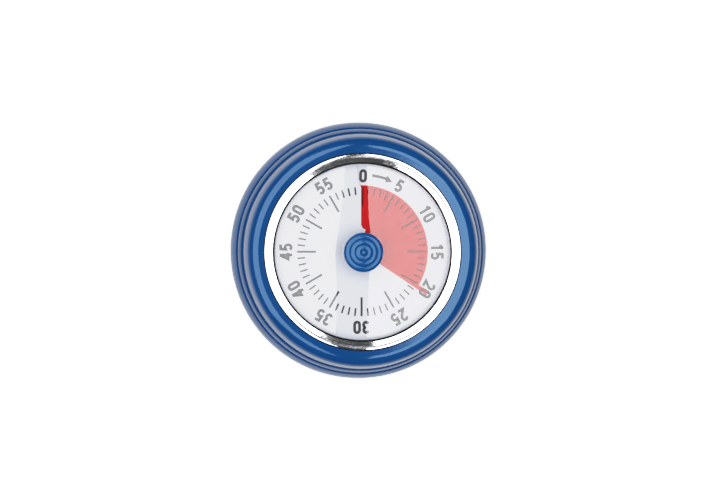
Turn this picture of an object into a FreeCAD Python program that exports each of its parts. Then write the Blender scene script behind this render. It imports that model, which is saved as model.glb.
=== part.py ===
import FreeCAD, Part
import math
import os
import Sketcher
from FreeCAD import Placement, Rotation, Vector

# Round kitchen timer with a rear magnet, lying on its back: +Z is the axis of the dial,
# +Y points to the dial's 0 and +X to its 15. The origin is the centre of the resting plane.

DOC = FreeCAD.newDocument("KitchenTimer")
SHEET = DOC.addObject("Spreadsheet::Sheet", "Sizes")
UP = Vector(0, 0, 1)

# Driving dimensions in millimetres, degrees and tooth counts.
DRIVING = {
    # housing: radii step in from the widest rib; a slope is measured from flat, in degrees
    "bodyRadius": 36.0, "baseStep": 1.8, "wall": 1.4, "baseZ": 0.9, "wideZ": 8.4,
    "ribArc": 12.7, "ribSlope": 65.0, "edgeArc": 0.75, "edgeSlope": 25.0, "grooveStep": 0.3,
    "grooveRise": 0.27, "footStep": 0.1, "footRise": 0.64, "midArc": 7.4, "midFoot": 84.0,
    "wallArc": 27.0, "wallFoot": 88.5, "shoulderArc": 2.25, "shoulderSlope": 75.0,
    "crownArc": 4.6, "crownSlope": 18.5, "boreRadius": 27.3, "collarWall": 1.3,
    "collarDrop": 2.8, "ledgeWidth": 2.4, "ledgeThick": 1.0, "ledgeGap": 0.2,
    # rear cover, foot and magnet
    "coverZ": 0.8, "coverThick": 1.8, "coverLip": 1.0, "coverGap": 0.1,
    "footInner": 23.6, "footWidth": 2.8, "footThick": 1.5, "footGap": 0.1,
    "magnetRadius": 9.2, "magnetZ": 0.4, "magnetThick": 2.2, "cupWall": 0.8, "cupFlange": 1.4,
    "cupThick": 0.4, "soundHole": 0.9, "soundCircle": 19.0,
    # screws and posts
    "postStep": 5.8, "postRadius": 1.9, "postHeight": 9.3, "screwRadius": 1.1,
    "screwHead": 2.0, "screwHeadThick": 0.9, "screwLength": 6.5, "headGap": 0.1,
    "screwTurn": 60.0,
    # bezel, lens, gasket and dial
    "bezelOver": 0.4, "bezelRise": 0.7, "bezelDepth": 2.2, "bezelBand": 3.1, "crestArc": 3.0,
    "crestSlope": 11.0, "rollArc": 0.45, "rollSlope": 80.0, "scoreWidth": 0.16,
    "faceSlope": 12.0, "lipArc": 0.75, "skirtGap": 0.1, "lensThick": 1.0, "lensRise": 1.3,
    "lensArc": 190.0, "lensGap": 0.2, "gasketThick": 0.4, "gasketWidth": 0.9, "rimWidth": 1.4,
    "rimHeight": 2.3, "webLift": 0.6, "webPitch": 1.0, "webThick": 0.3, "webGap": 0.8,
    "webRoot": 0.2, "webOverlap": 14.0,
    # knob, arbor and film
    "knobRadius": 5.5, "knobHeight": 6.7, "knobGap": 0.9, "knobTaper": 0.4,
    "ringStep": 0.4, "ringRise": 1.9, "ringArc": 1.6, "ringOne": 4.1, "ringTwo": 2.65,
    "ringThree": 1.2, "knobWall": 3.5, "stemRadius": 2.7, "stemGap": 0.4, "stemDrop": 0.2,
    "arborRadius": 1.5, "flatDepth": 0.4, "arborTail": 0.1, "numeralBand": 6.05,
    "filmThick": 0.15, "filmLead": 124.0, "filmSweep": 350.0, "tabReach": 3.3,
    "tabWidth": 3.7, "tabRoot": 0.4, "hubRadius": 3.6, "hubThick": 1.5,
    # movement frame
    "plateGap": 0.5, "plateThick": 1.0, "rearPlateZ": 9.2, "plateSpacing": 10.0,
    "earRadius": 2.2, "earInset": 0.9, "pillarInset": 2.4, "pillarRadius": 1.5, "pillarStud": 0.8,
    "nutRadius": 1.5, "nutThick": 0.8, "pivotRadius": 0.5, "arborStep": 0.1, "runGap": 0.05,
    "pivotStand": 0.1,
    # wheels: heights are stacked upwards from the rear plate
    "coarseModule": 0.4, "fineModule": 0.3, "greatTeeth": 72, "fineTeeth": 64, "pinionTeeth": 8,
    "wheelThick": 0.5, "greatThick": 0.7, "barrelGearThick": 0.8, "pinionLong": 1.2,
    "barrelGap": 0.6, "greatGap": 0.4, "thirdGap": 1.0, "secondGap": 0.7,
    "drumClear": 2.3, "drumHeight": 3.3, "drumWall": 0.6, "lidThick": 0.4,
    "springThick": 0.2, "springTurns": 8.0, "springGap": 0.25,
    "secondAngle": 210.0, "thirdClear": 1.08, "escapeClear": 5.58, "escapeTeeth": 15,
    "escapeRadius": 4.0, "escapeDepth": 1.0, "escapeLift": 3.3, "vergeReach": 6.5,
    "vergeAngle": 20.0, "palletReach": 4.85, "palletPin": 0.25, "palletSpread": 38.0,
    "balanceRadius": 4.0, "balanceLift": 1.7, "starAngle": 70.0, "starTeeth": 12,
    "starRadius": 3.2, "starDepth": 0.9, "starLift": 2.4,
    # ratchet and alarm release
    "ratchetTeeth": 20, "ratchetRadius": 4.0, "ratchetDepth": 0.7, "ratchetThick": 0.4,
    "clickReach": 7.4, "clickPin": 0.6, "camClear": 1.76, "camThick": 0.6, "camNotch": 1.2,
    "camGap": 0.3, "leverReach": 18.0, "leverAngle": 30.0, "leverGap": 0.2,
    # bell and hammer
    "bellRadius": 22.0, "bellWall": 0.8, "bellDepth": 4.9, "bellGap": 0.4, "bellPost": 2.4,
    "bellScrewHead": 2.6, "bellScrewThick": 0.6, "bellScrewLength": 4.0,
    "hammerPivotReach": 24.2, "hammerWire": 0.5, "hammerTail": 0.3,
    "hammerHead": 1.2, "hammerX": 5.0, "hammerY": 18.9, "hammerDip": 3.0, "hammerLift": 4.0,
    "hammerSlot": 2.4,
}


class Size:
    """A dimension: its present value and the expression that keeps it tied to the sheet."""

    def __init__(self, value, text):
        self.value = value
        self.text = text

    def join(self, other, sign, turned=False):
        other = other if isinstance(other, Size) else Size(other, repr(other))
        a, b = (other, self) if turned else (self, other)
        results = {"+": a.value + b.value, "-": a.value - b.value, "*": a.value * b.value}
        value = a.value / b.value if sign == "/" else results[sign]
        return Size(value, "(%s %s %s)" % (a.text, sign, b.text))

    def __add__(self, other):
        return self.join(other, "+")

    def __radd__(self, other):
        return self.join(other, "+", True)

    def __sub__(self, other):
        return self.join(other, "-")

    def __rsub__(self, other):
        return self.join(other, "-", True)

    def __mul__(self, other):
        return self.join(other, "*")

    def __rmul__(self, other):
        return self.join(other, "*", True)

    def __truediv__(self, other):
        return self.join(other, "/")

    def __float__(self):
        return float(self.value)


class Sizes:
    """The sheet's cells as attributes."""


def fill_sheet():
    sizes = Sizes()
    for row, (alias, value) in enumerate(DRIVING.items(), start=1):
        SHEET.set("A%d" % row, alias)
        SHEET.set("B%d" % row, repr(value))
        SHEET.setAlias("B%d" % row, alias)
    DOC.recompute()
    for alias in DRIVING:
        setattr(sizes, alias, Size(float(SHEET.get(alias)), "Sizes." + alias))
    return sizes


def sine(slope):
    return Size(math.sin(math.radians(slope.value)), "sin(%s * 1 deg)" % slope.text)


def cosine(slope):
    return Size(math.cos(math.radians(slope.value)), "cos(%s * 1 deg)" % slope.text)


def arc_run(radius, low, high):
    """How far an arc goes outwards and down while its slope grows from low to high."""
    return radius * (sine(high) - sine(low)), radius * (cosine(low) - cosine(high))


s = fill_sheet()
FLAT = Size(0.0, "0")
UPRIGHT = Size(90.0, "90")

# Sizes and heights that follow from the driving ones, so that pieces keep their fits.
BASE_RADIUS = s.bodyRadius - s.baseStep
POST_CIRCLE = s.bodyRadius - s.postStep
COVER_TOP = s.coverZ + s.coverThick
COVER_RADIUS = BASE_RADIUS - s.coverLip
CUP_OUTER = s.magnetRadius + s.cupWall
REAR_PLATE_TOP = s.rearPlateZ + s.plateThick
FRONT_PLATE_Z = REAR_PLATE_TOP + s.plateSpacing
FRONT_PLATE_TOP = FRONT_PLATE_Z + s.plateThick
LEDGE_Z = FRONT_PLATE_TOP + s.ledgeGap + s.ledgeThick
LEDGE_RADIUS = s.boreRadius - s.ledgeWidth
WEB_Z = LEDGE_Z + s.webLift
RIM_TOP = LEDGE_Z + s.rimHeight
RIM_OUTER = s.boreRadius - s.lensGap
RIM_INNER = RIM_OUTER - s.rimWidth
LENS_EDGE_Z = RIM_TOP + s.gasketThick
LENS_TOP = LENS_EDGE_Z + s.lensThick
BEZEL_RADIUS = s.boreRadius + s.bezelOver
BEZEL_LIP = BEZEL_RADIUS - s.bezelBand
LENS_FLAT = BEZEL_LIP - s.lensGap
SEAT_Z = LENS_TOP + s.bezelDepth
BEZEL_TOP = SEAT_Z + s.bezelRise
LENS_HOLE = s.stemRadius + s.stemGap
KNOB_UNDER = LENS_TOP + s.lensRise + s.knobGap
KNOB_TOP = KNOB_UNDER + s.knobHeight
KNOB_RING_Z = KNOB_TOP - s.ringRise
KNOB_BORE_TOP = KNOB_TOP - s.knobWall
STEM_Z = LENS_EDGE_Z + s.stemDrop
WEB_INNER = s.hubRadius + s.webGap
FOOT_OUTER = s.footInner + s.footWidth
BARREL_Z = REAR_PLATE_TOP + s.barrelGap
DRUM_TOP = BARREL_Z + s.barrelGearThick + s.drumHeight
LID_TOP = DRUM_TOP + s.lidThick
GREAT_Z = LID_TOP + s.greatGap
GREAT_TOP = GREAT_Z + s.greatThick
THIRD_Z = GREAT_TOP + s.thirdGap
SECOND_Z = THIRD_Z + s.wheelThick + s.secondGap
CAM_Z = THIRD_Z + s.wheelThick + s.camGap
STAR_Z = REAR_PLATE_TOP + s.starLift
ESCAPE_Z = REAR_PLATE_TOP + s.escapeLift
BALANCE_Z = REAR_PLATE_TOP + s.balanceLift
BELL_TOP = s.rearPlateZ - s.bellGap
BELL_Z = BELL_TOP - s.bellDepth
POST_TOP = REAR_PLATE_TOP + s.postHeight
HAMMER_LOW = s.rearPlateZ - s.bellGap - s.hammerDip
HAMMER_ARM_Z = REAR_PLATE_TOP + s.hammerLift
ARBOR_FLAT = s.arborRadius - s.flatDepth
FILM_RADIUS = BEZEL_LIP - s.numeralBand
TAB_RADIUS = FILM_RADIUS + s.tabReach
PLATE_RADIUS = POST_CIRCLE - s.postRadius - s.plateGap
PILLAR_CIRCLE = PLATE_RADIUS - s.pillarInset
ARBOR_CORE = s.pivotRadius + s.arborStep
ARBOR_REAR = s.rearPlateZ + s.arborTail


def num(size):
    return float(size)


def bind(thing, **properties):
    """Set each property to a size and keep it tied to the sheet."""
    for name, size in properties.items():
        if isinstance(size, Size):
            thing.setExpression(name, size.text)
        else:
            setattr(thing, name, size)


def place(thing, x=0.0, y=0.0, z=0.0):
    for letter, size in (("x", x), ("y", y), ("z", z)):
        if isinstance(size, Size):
            thing.setExpression("Placement.Base." + letter, size.text)
    thing.Placement = Placement(Vector(num(x), num(y), num(z)), Rotation())


def label(thing, name):
    thing.Label = name
    PIECES.append(thing)
    return thing


PIECES = []


# ---- sketches and turned pieces ----

def arc_between(start, end, radius, bulge):
    """The circle arc of a radius from start to end; bulge +1 puts its belly on the right."""
    middle = (start + end) * 0.5
    chord = end - start
    half = chord.Length / 2
    side = Vector(-chord.y, chord.x, 0) * (bulge / chord.Length)
    centre = middle + side * math.sqrt(radius ** 2 - half ** 2)
    crest = centre - side * radius
    return Part.Arc(start, crest, end)


def fix_point(sketch, geometry, position, x, y):
    """Tie a sketch point to the sheet by its distances from the origin."""
    for kind, size, axis in (("DistanceX", x, -2), ("DistanceY", y, -1)):
        if num(size) == 0:
            sketch.addConstraint(Sketcher.Constraint("PointOnObject", geometry, position, axis))
            continue
        rule = Sketcher.Constraint(kind, -1, 1, geometry, position, num(size))
        index = sketch.addConstraint(rule)
        if isinstance(size, Size):
            sketch.setExpression("Constraints[%d]" % index, size.text)


def draw_loop(sketch, corners):
    """A closed outline; a corner is (x, y) or (x, y, radius, bulge) when an arc leaves it."""
    first = sketch.GeometryCount
    count = len(corners)
    for index, corner in enumerate(corners):
        following = corners[(index + 1) % count]
        start = Vector(num(corner[0]), num(corner[1]), 0)
        end = Vector(num(following[0]), num(following[1]), 0)
        if len(corner) == 2:
            sketch.addGeometry(Part.LineSegment(start, end))
        else:
            sketch.addGeometry(arc_between(start, end, num(corner[2]), corner[3]))
    starts = []
    for index, corner in enumerate(corners):
        edge = sketch.Geometry[first + index]
        begin = Vector(num(corner[0]), num(corner[1]), 0)
        swapped = len(corner) == 4 and (sketch.getPoint(first + index, 1) - begin).Length > 1e-4
        starts.append(2 if swapped else 1)
    for index in range(count):
        ahead = (index + 1) % count
        rule = Sketcher.Constraint("Coincident", first + index, 3 - starts[index],
                                   first + ahead, starts[ahead])
        sketch.addConstraint(rule)
    for index, corner in enumerate(corners):
        fix_point(sketch, first + index, starts[index], corner[0], corner[1])
        if len(corner) == 4:
            rule = Sketcher.Constraint("Radius", first + index, num(corner[2]))
            number = sketch.addConstraint(rule)
            if isinstance(corner[2], Size):
                sketch.setExpression("Constraints[%d]" % number, corner[2].text)


def draw_circle(sketch, x, y, radius):
    circle = Part.Circle(Vector(num(x), num(y), 0), UP, num(radius))
    index = sketch.addGeometry(circle)
    fix_point(sketch, index, 3, x, y)
    number = sketch.addConstraint(Sketcher.Constraint("Radius", index, num(radius)))
    sketch.setExpression("Constraints[%d]" % number, radius.text)


def new_sketch(body, name, role, height=None):
    sketch = body.newObject("Sketcher::SketchObject", name)
    planes = [plane for plane in body.Origin.OriginFeatures if plane.Role == role]
    sketch.AttachmentSupport = [(planes[0], "")]
    sketch.MapMode = "FlatFace"
    if height is not None:
        sketch.AttachmentOffset = Placement(Vector(0, 0, num(height)), Rotation())
        sketch.setExpression("AttachmentOffset.Base.z", height.text)
    return sketch


def turned(name, corners):
    """A body turned about the Z axis from its half section."""
    body = DOC.addObject("PartDesign::Body", name + "_body")
    sketch = new_sketch(body, name + "_section", "XZ_Plane")
    draw_loop(sketch, corners)
    feature = body.newObject("PartDesign::Revolution", name + "_turn")
    feature.Profile = sketch
    feature.ReferenceAxis = (sketch, ["V_Axis"])
    feature.Angle = 360
    return label(body, name)


def ring_section(inner, outer, low, high):
    return [(inner, low), (outer, low), (outer, high), (inner, high)]


def polar(body, feature, count):
    pattern = body.newObject("PartDesign::PolarPattern", feature.Name + "_round")
    pattern.Originals = [feature]
    axes = [axis for axis in body.Origin.OriginFeatures if axis.Role == "Z_Axis"]
    pattern.Axis = (axes[0], [""])
    pattern.Angle = 360
    pattern.Occurrences = count
    body.Tip = pattern
    return pattern


def padded(body, name, circles, low, length, cut=False, times=1):
    """Pad or pocket circles upwards from a height, repeated about the Z axis."""
    sketch = new_sketch(body, name + "_sketch", "XY_Plane", low)
    for x, y, radius in circles:
        draw_circle(sketch, x, y, radius)
    kind = "PartDesign::Pocket" if cut else "PartDesign::Pad"
    feature = body.newObject(kind, name)
    feature.Profile = sketch
    bind(feature, Length=length)
    feature.Reversed = cut
    body.Tip = feature
    return polar(body, feature, times) if times > 1 else feature


# ---- primitives ----

def cylinder(name, radius, low, high, x=0.0, y=0.0):
    rod = DOC.addObject("Part::Cylinder", name)
    bind(rod, Radius=radius, Height=high - low)
    place(rod, x, y, low)
    return rod


def fused(name, shapes):
    joined = DOC.addObject("Part::MultiFuse", name)
    joined.Shapes = shapes
    return joined


def cut(name, base, tool):
    result = DOC.addObject("Part::Cut", name)
    result.Base = base
    result.Tool = tool
    return result


def feature(name, shape, x=0.0, y=0.0, turn=0.0):
    """A sub-part whose shape is made here, then placed."""
    thing = DOC.addObject("Part::Feature", name)
    thing.Shape = shape
    thing.Placement = Placement(Vector(x, y, 0), Rotation(UP, turn))
    return label(thing, name)


def rod_shape(radius, low, high):
    return Part.makeCylinder(num(radius), num(high) - num(low), Vector(0, 0, num(low)))


def slab(points, low, thick):
    """A flat piece with a straight-sided outline."""
    corners = [Vector(x, y, num(low)) for x, y in points]
    wire = Part.makePolygon(corners + corners[:1])
    return Part.Face(wire).extrude(Vector(0, 0, num(thick)))


def on_circle(reach, degrees):
    angle = math.radians(degrees)
    return reach * math.cos(angle), reach * math.sin(angle)


# ---- positions of the movement's arbors ----

TOOTH_TIP = 0.8
PITCH_COARSE = (s.greatTeeth + s.pinionTeeth) * s.coarseModule / 2
PITCH_FINE = (s.fineTeeth + s.pinionTeeth) * s.fineModule / 2
GREAT_TIP = (s.greatTeeth / 2 + TOOTH_TIP) * s.coarseModule
FINE_TIP = (s.fineTeeth / 2 + TOOTH_TIP) * s.fineModule
THIRD_REACH = GREAT_TIP + s.thirdClear
ESCAPE_REACH = GREAT_TIP + s.escapeClear
CAM_RADIUS = PITCH_COARSE - FINE_TIP - s.camClear
DRUM_RADIUS = PITCH_COARSE - s.starRadius - s.drumClear


def angle_opposite(far, one, two):
    return math.degrees(math.acos((one ** 2 + two ** 2 - far ** 2) / (2 * one * two)))


SECOND_ANGLE = num(s.secondAngle)
THIRD_ANGLE = SECOND_ANGLE + angle_opposite(num(PITCH_FINE), num(PITCH_COARSE),
                                            num(THIRD_REACH))
ESCAPE_ANGLE = THIRD_ANGLE + angle_opposite(num(PITCH_FINE), num(THIRD_REACH),
                                            num(ESCAPE_REACH))
CENTRE = (0.0, 0.0)
SECOND = on_circle(num(PITCH_COARSE), SECOND_ANGLE)
THIRD = on_circle(num(THIRD_REACH), THIRD_ANGLE)
ESCAPE = on_circle(num(ESCAPE_REACH), ESCAPE_ANGLE)
VERGE_STEP = on_circle(num(s.vergeReach), num(s.vergeAngle))
VERGE = (ESCAPE[0] + VERGE_STEP[0], ESCAPE[1] + VERGE_STEP[1])
STAR = on_circle(num(PITCH_COARSE), num(s.starAngle))
HAMMER = (0.0, num(s.hammerPivotReach))
LEVER = on_circle(num(s.leverReach), num(s.leverAngle))
PIVOTS = [SECOND, THIRD, ESCAPE, VERGE, STAR, HAMMER, LEVER]
PILLAR_ANGLES = (25.0, 150.0, 230.0, 325.0)
POST_COUNT = 3


# ---- casing ----

def make_housing():
    """Two rolled ribs, upper wall and crown, collar with the dial's ledge, and the posts."""
    drop = s.wideZ - s.baseZ
    base_arc = (drop * drop + s.baseStep * s.baseStep) / (s.baseStep * 2)
    edge_in, edge_up = arc_run(s.edgeArc, s.edgeSlope, s.ribSlope)
    rib_in, rib_up = arc_run(s.ribArc, s.ribSlope, UPRIGHT)
    rib_top = (s.bodyRadius - rib_in, s.wideZ + rib_up)
    rib_rim = (rib_top[0] - edge_in, rib_top[1] + edge_up)
    groove_low = (rib_rim[0] - s.grooveStep, rib_rim[1] + s.grooveRise)
    mid_foot = (groove_low[0] + s.footStep, groove_low[1] + s.footRise)
    mid_in, mid_up = arc_run(s.midArc, s.ribSlope, s.midFoot)
    mid_top = (mid_foot[0] - mid_in, mid_foot[1] + mid_up)
    mid_rim = (mid_top[0] - edge_in, mid_top[1] + edge_up)
    groove_high = (mid_rim[0] - s.grooveStep, mid_rim[1] + s.grooveRise)
    crown_in, crown_drop = arc_run(s.crownArc, FLAT, s.crownSlope)
    shoulder_in, shoulder_drop = arc_run(s.shoulderArc, s.crownSlope, s.shoulderSlope)
    wall_in, wall_drop = arc_run(s.wallArc, s.shoulderSlope, s.wallFoot)
    wall_top = (groove_high[0] + s.footStep - wall_in, SEAT_Z - crown_drop - shoulder_drop)
    wall_foot = (groove_high[0] + s.footStep, wall_top[1] - wall_drop)
    shoulder = (wall_top[0] - shoulder_in, SEAT_Z - crown_drop)
    collar = s.boreRadius + s.collarWall
    roof_z = SEAT_Z - s.collarDrop
    body = turned("housing", [
        (s.boreRadius, SEAT_Z), (s.boreRadius, LEDGE_Z), (LEDGE_RADIUS, LEDGE_Z),
        (LEDGE_RADIUS, LEDGE_Z - s.ledgeThick), (collar, LEDGE_Z - s.ledgeThick),
        (collar, roof_z), (wall_top[0] - s.wall, roof_z),
        (groove_high[0] - s.wall, groove_high[1]), (groove_low[0] - s.wall, groove_low[1]),
        (groove_low[0] - s.wall, COVER_TOP), (COVER_RADIUS + s.coverGap, COVER_TOP),
        (COVER_RADIUS + s.coverGap, s.baseZ), (BASE_RADIUS, s.baseZ, base_arc, 1),
        (s.bodyRadius, s.wideZ, s.ribArc, 1), (*rib_top, s.edgeArc, 1), rib_rim, groove_low,
        (*mid_foot, s.midArc, 1), (*mid_top, s.edgeArc, 1), mid_rim, groove_high,
        (*wall_foot, s.wallArc, 1), (*wall_top, s.shoulderArc, 1), (*shoulder, s.crownArc, 1),
        (shoulder[0] - crown_in, SEAT_Z)])
    padded(body, "cover_posts", [(POST_CIRCLE, 0, s.postRadius)], COVER_TOP,
           POST_TOP - COVER_TOP, times=POST_COUNT)
    turn = math.radians(num(s.screwTurn))
    x = POST_CIRCLE * math.cos(turn)
    y = POST_CIRCLE * math.sin(turn)
    padded(body, "movement_posts", [(x, y, s.postRadius)], REAR_PLATE_TOP,
           POST_TOP - REAR_PLATE_TOP, times=POST_COUNT)
    depth = s.screwLength + s.headGap
    padded(body, "cover_bores", [(POST_CIRCLE, 0, s.screwRadius)], COVER_TOP, depth,
           cut=True, times=POST_COUNT)
    padded(body, "movement_bores", [(x, y, s.screwRadius)], REAR_PLATE_TOP, depth,
           cut=True, times=POST_COUNT)


def make_rear_cover():
    """Disc with the foot's groove, the magnet's opening, sound holes and sunk screw holes."""
    groove_top = s.footThick + s.footGap
    body = turned("rear_cover", [
        (CUP_OUTER, s.coverZ), (s.footInner - s.footGap, s.coverZ),
        (s.footInner - s.footGap, groove_top), (FOOT_OUTER + s.footGap, groove_top),
        (FOOT_OUTER + s.footGap, s.coverZ), (COVER_RADIUS, s.coverZ),
        (COVER_RADIUS, COVER_TOP), (CUP_OUTER, COVER_TOP)])
    padded(body, "sound_holes", [(s.soundCircle, 0, s.soundHole)], s.coverZ, s.coverThick,
           cut=True, times=12)
    padded(body, "cover_screw_holes", [(POST_CIRCLE, 0, s.screwRadius + s.headGap)], s.coverZ,
           s.coverThick, cut=True, times=POST_COUNT)
    padded(body, "cover_head_seats", [(POST_CIRCLE, 0, s.screwHead + s.headGap)], s.coverZ,
           s.screwHeadThick + s.headGap, cut=True, times=POST_COUNT)


def screw_shape(head_low, head_thick, head, radius, length):
    """Round-headed screw, head down, with a cross recess."""
    body = rod_shape(head, head_low, head_low + head_thick)
    body = body.fuse(rod_shape(radius, head_low + head_thick, head_low + head_thick + length))
    arm = head * 1.1
    width = head * 0.28
    depth = head_thick * 0.6
    for wide, deep in ((arm, width), (width, arm)):
        corner = Vector(-wide / 2, -deep / 2, head_low)
        body = body.cut(Part.makeBox(wide, deep, depth, corner))
    return body.removeSplitter()


def ring_of(shape, reach, angles):
    copies = []
    for degrees in angles:
        x, y = on_circle(reach, degrees)
        copies.append(shape.translated(Vector(x, y, 0)))
    return Part.makeCompound(copies)


def make_screws():
    length = num(s.screwLength)
    head_low = num(s.coverZ) + num(s.headGap)
    cover = screw_shape(head_low, num(s.screwHeadThick), num(s.screwHead), num(s.screwRadius),
                        length)
    step = 360.0 / POST_COUNT
    cover_angles = [step * index for index in range(POST_COUNT)]
    feature("cover_screws", ring_of(cover, num(POST_CIRCLE), cover_angles))
    head_low = num(s.rearPlateZ) - num(s.screwHeadThick)
    movement = screw_shape(head_low, num(s.screwHeadThick), num(s.screwHead),
                           num(s.screwRadius), length)
    turned_angles = [num(s.screwTurn) + angle for angle in cover_angles]
    feature("movement_screws", ring_of(movement, num(POST_CIRCLE), turned_angles))


def make_rear_fittings():
    turned("foot_ring", ring_section(s.footInner, FOOT_OUTER, FLAT, s.footThick))
    turned("magnet", ring_section(FLAT, s.magnetRadius, s.magnetZ,
                                  s.magnetZ + s.magnetThick))
    flange = CUP_OUTER + s.cupFlange
    magnet_top = s.magnetZ + s.magnetThick
    turned("magnet_cup", [
        (0, magnet_top), (s.magnetRadius, magnet_top), (s.magnetRadius, s.magnetZ),
        (CUP_OUTER, s.magnetZ), (CUP_OUTER, COVER_TOP), (flange, COVER_TOP),
        (flange, COVER_TOP + s.cupThick), (0, COVER_TOP + s.cupThick)])


# ---- front ----

def make_front():
    """Bezel with crest, scored line and face sloping in, clear domed lens, and gasket."""
    skirt = s.boreRadius - s.skirtGap
    crest_in, crest_drop = arc_run(s.crestArc, FLAT, s.crestSlope)
    roll_in, roll_drop = arc_run(s.rollArc, s.crestSlope, s.rollSlope)
    lip_in, lip_drop = arc_run(s.lipArc, s.faceSlope, s.rollSlope)
    roll_top = (BEZEL_RADIUS - roll_in, BEZEL_TOP - crest_drop)
    crest = roll_top[0] - crest_in
    face_out = crest - s.scoreWidth * 2
    lip = BEZEL_LIP + lip_in
    lip_z = BEZEL_TOP - (face_out - lip) * sine(s.faceSlope) / cosine(s.faceSlope)
    turned("bezel", [
        (BEZEL_LIP, LENS_TOP), (skirt, LENS_TOP), (skirt, SEAT_Z), (BEZEL_RADIUS, SEAT_Z),
        (BEZEL_RADIUS, roll_top[1] - roll_drop, s.rollArc, 1), (*roll_top, s.crestArc, 1),
        (crest, BEZEL_TOP), (crest - s.scoreWidth, BEZEL_TOP - s.scoreWidth),
        (face_out, BEZEL_TOP), (lip, lip_z, s.lipArc, 1), (BEZEL_LIP, lip_z - lip_drop)])
    turned("lens", [
        (LENS_HOLE, LENS_EDGE_Z + s.lensRise), (LENS_HOLE, LENS_TOP + s.lensRise,
                                                s.lensArc, -1),
        (LENS_FLAT, LENS_TOP), (RIM_OUTER, LENS_TOP), (RIM_OUTER, LENS_EDGE_Z),
        (LENS_FLAT, LENS_EDGE_Z, s.lensArc, 1)])
    turned("lens_gasket", ring_section(RIM_OUTER - s.gasketWidth, RIM_OUTER, RIM_TOP,
                                       LENS_EDGE_Z))


def make_knob():
    """Knob whose crown is a stack of rolled rings, and a stem that passes through the lens."""
    foot = s.knobRadius - s.knobTaper
    corners = [
        (0, STEM_Z), (s.stemRadius, STEM_Z), (s.stemRadius, KNOB_UNDER), (foot, KNOB_UNDER),
        (s.knobRadius, KNOB_UNDER + s.knobTaper), (s.knobRadius, KNOB_RING_Z, s.ringArc, 1)]
    for index, radius in enumerate((s.ringOne, s.ringTwo), start=1):
        corners.append((radius, KNOB_RING_Z + s.ringStep * index, s.ringArc, 1))
    cap_rise = s.ringRise - s.ringStep * 3
    cap_arc = (s.ringThree * s.ringThree + cap_rise * cap_rise) / (cap_rise * 2)
    corners.append((s.ringThree, KNOB_TOP - cap_rise, cap_arc, 1))
    corners.append((0, KNOB_TOP))
    body = turned("knob", corners)
    sketch = new_sketch(body, "knob_bore_sketch", "XY_Plane", STEM_Z)
    draw_flatted(sketch, s.arborRadius, ARBOR_FLAT)
    bore = body.newObject("PartDesign::Pocket", "knob_bore")
    bore.Profile = sketch
    bind(bore, Length=KNOB_BORE_TOP - STEM_Z)
    bore.Reversed = True
    body.Tip = bore


def draw_flatted(sketch, radius, flat):
    """A circle with one side cut flat, facing +X."""
    rise = radius * radius - flat * flat
    height = Size(math.sqrt(num(rise)), "sqrt(%s)" % rise.text)
    top = Vector(num(flat), num(height), 0)
    low = Vector(num(flat), -num(height), 0)
    arc = sketch.addGeometry(Part.Arc(top, Vector(-num(radius), 0, 0), low))
    line = sketch.addGeometry(Part.LineSegment(low, top))
    sketch.addConstraint(Sketcher.Constraint("Coincident", arc, 3, -1, 1))
    sketch.addConstraint(Sketcher.Constraint("Coincident", arc, 1, line, 2))
    sketch.addConstraint(Sketcher.Constraint("Coincident", arc, 2, line, 1))
    sketch.addConstraint(Sketcher.Constraint("Vertical", line))
    number = sketch.addConstraint(Sketcher.Constraint("Radius", arc, num(radius)))
    sketch.setExpression("Constraints[%d]" % number, radius.text)
    rule = Sketcher.Constraint("DistanceX", -1, 1, line, 1, num(flat))
    number = sketch.addConstraint(rule)
    sketch.setExpression("Constraints[%d]" % number, flat.text)


# ---- dial web and film: two helical sheets of one pitch, rising clockwise ----

def helical_sheet(inner, outer, start, end, z, thick):
    """A flat ribbon that climbs one pitch a turn, clockwise from the dial's 0."""
    pitch = num(s.webPitch)
    climb = pitch * (end - start) / 360
    edges = [Part.makeHelix(pitch, climb, radius).Edges[0] for radius in (inner, outer)]
    sheet = Part.makeRuledSurface(*edges).extrude(Vector(0, 0, thick))
    sheet.rotate(Vector(0, 0, 0), UP, 90 + start)
    sheet.translate(Vector(0, 0, z + pitch * start / 360))
    return sheet.mirror(Vector(0, 0, 0), Vector(1, 0, 0))


# The slit's edge from the axis outwards: a hooked beak, then nearly straight.
SLIT = [(0.0, 0.0), (1.1, 6.2), (0.35, 6.5), (-0.15, 7.5), (-0.15, 18.0), (-0.75, 19.1),
        (-1.4, 24.3)]


def make_dial():
    """White helical web with its radial slit, moulded in one with its rim."""
    base = num(WEB_Z)
    overlap = num(s.webOverlap)
    web = helical_sheet(num(WEB_INNER), num(RIM_INNER + s.webRoot), -overlap, 360 + overlap,
                        base, num(s.webThick))
    reach = num(RIM_OUTER) + 1
    split = base + (num(s.webPitch) + num(s.webThick)) / 2
    side = reach / 2
    left = SLIT + [(-1.9, reach), (-side, reach), (-side, 0.0)]
    right = SLIT + [(-1.9, reach), (side, reach), (side, 0.0)]
    web = web.cut(slab(left, base - 1, split - base + 1))
    web = web.cut(slab(right, split, num(s.webPitch) * 2))
    rim = rod_shape(RIM_OUTER, LEDGE_Z, RIM_TOP).cut(rod_shape(RIM_INNER, LEDGE_Z, RIM_TOP))
    feature("dial_face", rim.fuse(web).removeSplitter())


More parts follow.
